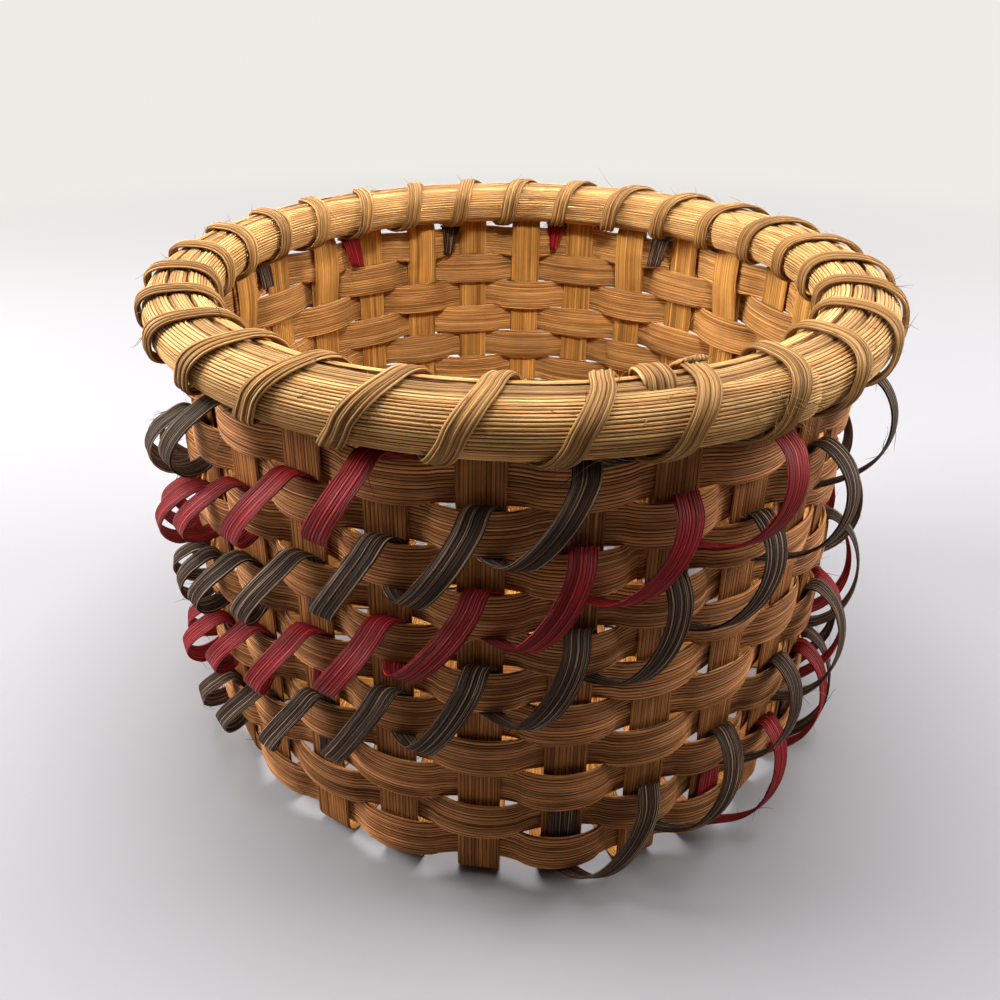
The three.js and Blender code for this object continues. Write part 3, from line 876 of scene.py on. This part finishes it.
class BASKET_OT_lashing(bpy.types.Operator):
    """Flat reed wound round the rim, one turn for each gap between stakes"""

    bl_idname = "basket.lashing"
    bl_label = "Build Lashing"

    def execute(self, context):
        loose_ends = [
            lash_end(1.80, 176, 78, -0.0038, 0.0045, 75),
            lash_end(2.30, 188, 104, -0.003, -0.0012, 77),
        ]
        for number, gap in LASHINGS:
            strips = [lash_strip(gap, LASH_TURNS, LASH_SEED + number)] + (loose_ends if number == 1 else [])
            node = f"rim_lashing_{number}"
            swept_piece(f"rim_lashing_length_{number}", strips, "lashing", "lashing reed", [node])
        return {"FINISHED"}


# Curled strips

BOW_STEPS = 6


def curl_station(stake, row, left, above, out, slant):
    """A place beside a stake and row: how far left, above the row's middle and off the stake, and how it slants."""
    s = sizes()
    azimuth = azimuth_of(stake) - left / s.wall_radius
    across = -math.cos(slant) * along_wall(azimuth) + math.sin(slant) * UP
    face = s.wall_radius + s.stake_thickness / 2
    return np.concatenate((outward(azimuth) * (face + out) + UP * (row_z(row) + above), across))


def curl_bow(stake, row, rng):
    """The free part of one curl, from above its row round and down to the next."""
    s = sizes()
    edge = s.weaver_width / 2
    pitch = s.wall_radius * azimuth_of(1)
    fullness = np.interp(row, (1, 4, 8, 11), (1.12, 1.06, 0.92, 0.86)) * rng.uniform(0.90, 1.08)
    bulge = s.curl_bulge * fullness
    top = edge + 0.0028 + rng.uniform(-0.0005, 0.0010)
    bottom = -ROW_PITCH - edge - CLEAR + rng.uniform(-0.0010, 0.0008)
    reach = pitch * rng.uniform(0.62, 0.88) * (0.86 if row == 1 else 1.0)
    half_height = (top - bottom) / 2 / math.cos(math.pi / 12)
    twist = rng.uniform(-0.06, 0.10)
    found = []
    for i in range(BOW_STEPS + 1):
        turn = math.pi / 12 + i * (math.pi * 10 / 12) / BOW_STEPS
        left = reach * (1 - math.cos(turn)) / 2
        if i == BOW_STEPS:
            left = (left + pitch * 0.92) / 2
        above = (top + bottom) / 2 + half_height * math.cos(turn)
        slant = twist * math.sin(turn) + math.radians(5) * (1 - math.cos(turn)) / 2
        found.append(curl_station(stake, row, left, above, bulge * math.sin(turn) ** 0.95, slant))
    return found


def curl_strip(first_stake, seed):
    """A chain of curls: an end inside by the top row, one curl a row down and to the left, and a tucked tail."""
    s = sizes()
    rng = np.random.default_rng(seed)
    edge = s.weaver_width / 2
    in_slot = CLEAR + s.curl_thickness / 2
    over_row = edge + CLEAR + s.curl_thickness / 2
    beside = -(s.stake_width / 2 + CLEAR + s.curl_width / 2)
    inside = -(s.stake_thickness + CLEAR + s.weaver_thickness + s.curl_thickness / 2)
    hang = rng.uniform(0.009, 0.014)
    tilt = rng.uniform(-0.30, 0.30)
    stations = [curl_station(first_stake, 1, *place) for place in (
        (beside - tilt * hang, over_row - hang, inside - 0.0008, tilt),
        (beside - tilt * 0.004, over_row - 0.004, inside, tilt / 2),
        (beside, over_row, inside + 0.0012, 0),
        (beside, over_row, CLEAR + s.weaver_thickness, 0),
        (beside / 2, over_row + 0.0004, 0.0034, -math.radians(14)),
    )] + curl_bow(first_stake, 1, rng)
    for row in range(2, s.row_count):
        stake = first_stake - (row - 1)
        shift = -0.0016 + rng.uniform(-0.0006, 0.0006)
        for above, out, slant in ((-edge - CLEAR, 0, 0.06), (0, 0.0001, 0.05), (edge + CLEAR, 0, 0.06)):
            stations.append(curl_station(stake, row, shift, above, in_slot + out, slant))
        stations += curl_bow(stake, row, rng)
    last = first_stake - (s.row_count - 1)
    tail = 2 * ROW_PITCH - edge + (0.003 if tail_tucks(last % s.stake_count) else -0.0034)
    for above in (-edge - CLEAR, 0, tail):
        stations.append(curl_station(last, s.row_count, 0, above, in_slot, 0))
    path = smooth_curve(stations, 4)
    count = len(path)
    face = s.wall_radius + s.stake_thickness / 2
    free = np.clip((np.hypot(path[:, 0], path[:, 1]) - face) / 0.004, 0, 1)
    widths = 1 + 0.18 * (1 - free) + wander(count, 60, 0.05, rng)
    widths[:9] *= np.linspace(rng.uniform(0.2, 0.8), 1.0, 9)
    return Strip(path[:, :3], seed, across=path[:, 3:], width=widths, thickness=1 + wander(count, 60, 0.1, rng),
                 level=True)


class BASKET_OT_curls(bpy.types.Operator):
    """Dyed strips that curl in diagonal chains down the outside"""

    bl_idname = "basket.curls"
    bl_label = "Build Curled Strips"

    def execute(self, context):
        made = {"black": 0, "red": 0}
        for i, (first_stake, dye) in enumerate(chains()):
            made[dye] += 1
            strip = curl_strip(first_stake, CURL_SEED + i)
            node = f"curl_strip_{dye}_{made[dye]}"
            swept_piece(f"curled_strip_{dye}_{made[dye]}", [strip], "curl", f"{dye} dyed reed", [node])
        return {"FINISHED"}


# Loose fibres

FIBRE_POINTS = 9


def loose_fibre(start, ahead, away, rng, length, lift):
    t = np.linspace(0, 1, FIBRE_POINTS)[:, None]
    side = np.cross(away, ahead)
    bend, wave = rng.uniform(-0.55, 0.55), rng.uniform(-0.10, 0.10)
    sideways = side * length * (bend * t * t + wave * np.sin(5 * t))
    points = start + ahead * length * t + away * (lift * t ** 1.6) + sideways
    thin = 1.0 - 0.75 * t[:, 0]
    return Strip(points, rng.integers(1, 900), facing=np.tile(away, (FIBRE_POINTS, 1)), width=thin, thickness=thin)


def fibres_on(strip, kind, count, rng, turns, lengths, lifts, span=(0.0, 1.0)):
    """Fibres that have come loose from a strip, at turns round its section."""
    section = section_of(kind)
    width, thickness, power = section["width"], section["thickness"], section["edge_power"]
    found = []
    first, last = (min(max(int(len(strip.points) * share), 3), len(strip.points) - 3) for share in span)
    for _ in range(count):
        i = int(rng.integers(first, last))
        phi = math.pi * rng.uniform(*turns[int(rng.integers(0, len(turns)))])
        c, s = math.cos(phi), math.sin(phi)
        x = math.copysign(abs(c) ** power, c) * width / 2 * strip.size[i, 0]
        y = math.copysign(abs(s) ** power, s) * thickness / 2 * strip.size[i, 1]
        across, facing = strip.across[i], strip.facing[i]
        away = unit(across * c * thickness + facing * s * width * (1 if width < 2 * thickness else 0.4))
        tangent = unit(strip.points[i + 1] - strip.points[i - 1]) * rng.choice((-1.0, 1.0))
        outward_share = rng.uniform(0.0, 0.7)
        ahead = unit(tangent * (1 - outward_share) + np.cross(away, tangent) * rng.uniform(-0.4, 0.4))
        start = strip.points[i] + across * x + facing * y - away * 0.00010
        length = rng.uniform(*lengths) * rng.uniform(0.5, 1.0)
        found.append(loose_fibre(start, ahead, away, rng, length, rng.uniform(*lifts) * (1 + outward_share)))
    return found


class BASKET_OT_fibres(bpy.types.Operator):
    """Splinters and hairs that stand loose on the rim, the lashing, the rows and the dyed strips"""

    bl_idname = "basket.fibres"
    bl_label = "Build Loose Fibres"

    def execute(self, context):
        rng = np.random.default_rng(FIBRE_SEED)
        hoops = [hoop_strip(side, joint, seed) for side, _, joint, seed in HOOPS]
        loose = {name: [] for name in ("rim", "lashing", "row", "black", "red")}
        for hoop in hoops:
            loose["rim"] += fibres_on(hoop, "hoop", 190, rng, ((0.12, 0.88),), (0.003, 0.011), (0.0004, 0.0024))
            loose["rim"] += fibres_on(hoop, "hoop", 9, rng, ((0.10, 0.35), (0.65, 0.90)), (0.012, 0.022),
                                      (0.002, 0.006))
        # The frayed end of the outer hoop
        loose["rim"] += fibres_on(hoops[0], "hoop", 46, np.random.default_rng(FIBRE_SEED + 1), ((0.04, 0.75),),
                                  (0.003, 0.008), (0.001, 0.0045), span=(0.975, 0.995))
        for number, gap in LASHINGS:
            strip = lash_strip(gap, LASH_TURNS, LASH_SEED + number)
            loose["lashing"] += fibres_on(strip, "lashing", 130, rng, ((-0.02, 0.10), (0.90, 1.02), (0.2, 0.8)),
                                          (0.002, 0.008), (0.0004, 0.0022))
        for row in range(1, sizes().row_count + 1):
            loose["row"] += fibres_on(row_strip(row), "row", 34, rng, ((-0.06, 0.12), (0.88, 1.06)),
                                      (0.003, 0.009), (0.0005, 0.0028))
        for i, (first_stake, dye) in enumerate(chains()):
            strip = curl_strip(first_stake, CURL_SEED + i)
            loose[dye] += fibres_on(strip, "curl", 60, rng, ((-0.05, 0.08), (0.92, 1.05)), (0.003, 0.009),
                                    (0.0003, 0.0022))
        reeds = {"row": "weaver reed", "black": "black dyed reed", "red": "red dyed reed"}
        for name, strips in loose.items():
            swept_piece(f"{name}_fibres", strips, "fibre", reeds.get(name, f"{name} reed"), [])
        return {"FINISHED"}


# Stage

def area_light(name, place, target, size, power, tint=(1.0, 1.0, 1.0), spread=180):
    data = bpy.data.lights.new(name, "AREA")
    data.shape = "RECTANGLE"
    data.size, data.size_y = size
    data.energy = power
    data.color = tint
    data.spread = math.radians(spread)
    lamp = bpy.data.objects.new(name, data)
    lamp.location = place
    lamp.rotation_euler = (Vector(target) - Vector(place)).to_track_quat("-Z", "Y").to_euler()
    bpy.context.scene.collection.objects.link(lamp)


def seen_directly(n):
    """One where the camera, a reflection or clear glass sees the surface, nothing where it only lights others."""
    ray = n.outputs("ShaderNodeLightPath")
    return n.math("MAXIMUM", n.math("MAXIMUM", ray["Is Camera Ray"], ray["Is Glossy Ray"]), ray["Is Transmission Ray"])


CAMERA_PLACE = (0.01677, -0.2958, 0.25185)
# Heading, tilt down from the level and roll, in degrees
CAMERA_TURNS = ((7.521, "Z"), (90 - 25.605, "X"), (-0.5816, "Z"))
CAMERA_FOCUS = 0.8904
CAMERA_SHIFT = (0.0512, -0.0976)
SENSOR_WIDTH = 36


def camera_at_photo():
    """The camera that was fitted to the photograph; its focus is a share of the picture's width."""
    data = bpy.data.cameras.new("Camera")
    data.sensor_width = SENSOR_WIDTH
    data.lens = SENSOR_WIDTH * CAMERA_FOCUS
    data.shift_x, data.shift_y = CAMERA_SHIFT
    data.clip_start = 0.01
    camera = bpy.data.objects.new("Camera", data)
    pose = Matrix.Translation(CAMERA_PLACE)
    for angle, axis in CAMERA_TURNS:
        pose = pose @ Matrix.Rotation(math.radians(angle), 4, axis)
    camera.matrix_world = pose
    bpy.context.scene.collection.objects.link(camera)
    bpy.context.scene.camera = camera


class BASKET_OT_stage(bpy.types.Operator):
    """Plain pale floor and background, soft lamps and the camera"""

    bl_idname = "basket.stage"
    bl_label = "Build Stage"

    def execute(self, context):
        scene = context.scene
        c = colours()
        scene.view_settings.view_transform = "Standard"
        mesh = bpy.data.meshes.new("floor")
        corners = [(x * FLOOR_REACH, y * FLOOR_REACH, 0) for x, y in ((-1, -1), (1, -1), (1, 1), (-1, 1))]
        mesh.from_pydata(corners, [], [(0, 1, 2, 3)])
        floor = bpy.data.objects.new("floor", mesh)
        scene.collection.objects.link(floor)
        paint = bpy.data.materials.new("pale floor")
        n = fresh_nodes(paint)
        seen = seen_directly(n)
        near = n.add("ShaderNodeBsdfDiffuse", n.mixed("MIX", seen, (*c.bounce, 1), (*c.floor, 1)))
        far = n.add("ShaderNodeEmission", (*c.backdrop, 1), 1.0)
        fade = n.ramp(n.vector("LENGTH", n.add("ShaderNodeTexCoord", out=3)), 0.30, 1.10)
        n.node("ShaderNodeOutputMaterial", n.add("ShaderNodeMixShader", fade * seen, near, far))
        mesh.materials.append(paint)

        scene.world = bpy.data.worlds.new("Soft World")
        n = fresh_nodes(scene.world)
        light = n.add("ShaderNodeBackground", (1.0, 1.0, 1.0, 1), 0.04)
        shown = n.add("ShaderNodeBackground", (*c.backdrop, 1), 1.0)
        n.node("ShaderNodeOutputWorld", n.add("ShaderNodeMixShader", seen_directly(n), light, shown))

        middle, warm = (0, 0, 0.09), (1.0, 0.98, 0.95)
        area_light("Top Lamp", (0.0, 0.15, 1.25), (0, 0, 0), (1.0, 0.70), 25.0)
        area_light("Left Lamp", (-1.10, 0.05, 0.62), middle, (0.6, 0.6), 32, warm)
        area_light("Right Lamp", (1.10, 0.30, 0.66), middle, (0.6, 0.6), 20, warm)
        area_light("Back Lamp", (0.0, 1.20, 0.80), middle, (1.0, 0.7), 5)
        area_light("Inside Lamp", (0.05, -0.50, 0.72), (0, 0.115, 0.115), (0.26, 0.10), 0.15, (1.0, 0.97, 0.92),
                   spread=20)
        camera_at_photo()
        return {"FINISHED"}


class VIEW3D_PT_basket(bpy.types.Panel):
    """The basket's pieces, sizes and colours"""

    bl_idname = "VIEW3D_PT_basket"
    bl_label = "Splint Basket"
    bl_space_type = "VIEW_3D"
    bl_region_type = "UI"
    bl_category = "Basket"

    def draw(self, context):
        for made in OPERATORS:
            self.layout.operator(made.bl_idname)
        for group in (context.scene.basket_sizes, context.scene.basket_colours):
            box = self.layout.box()
            for label in group.__annotations__:
                box.prop(group, label)


OPERATORS = (
    BASKET_OT_stage,
    BASKET_OT_stakes,
    BASKET_OT_rows,
    BASKET_OT_rim,
    BASKET_OT_lashing,
    BASKET_OT_curls,
    BASKET_OT_fibres,
)

CLASSES = (BasketSizes, BasketColours, *OPERATORS, VIEW3D_PT_basket)


def register():
    for made in CLASSES:
        bpy.utils.register_class(made)
    bpy.types.Scene.basket_sizes = PointerProperty(type=BasketSizes)
    bpy.types.Scene.basket_colours = PointerProperty(type=BasketColours)


def unregister():
    del bpy.types.Scene.basket_sizes
    del bpy.types.Scene.basket_colours
    for made in reversed(CLASSES):
        bpy.utils.unregister_class(made)


def main():
    register()
    bpy.ops.basket.stage()
    bpy.ops.basket.stakes()
    bpy.ops.basket.rows()
    bpy.ops.basket.rim()
    bpy.ops.basket.lashing()
    bpy.ops.basket.curls()
    bpy.ops.basket.fibres()


if __name__ == "__main__":
    main()
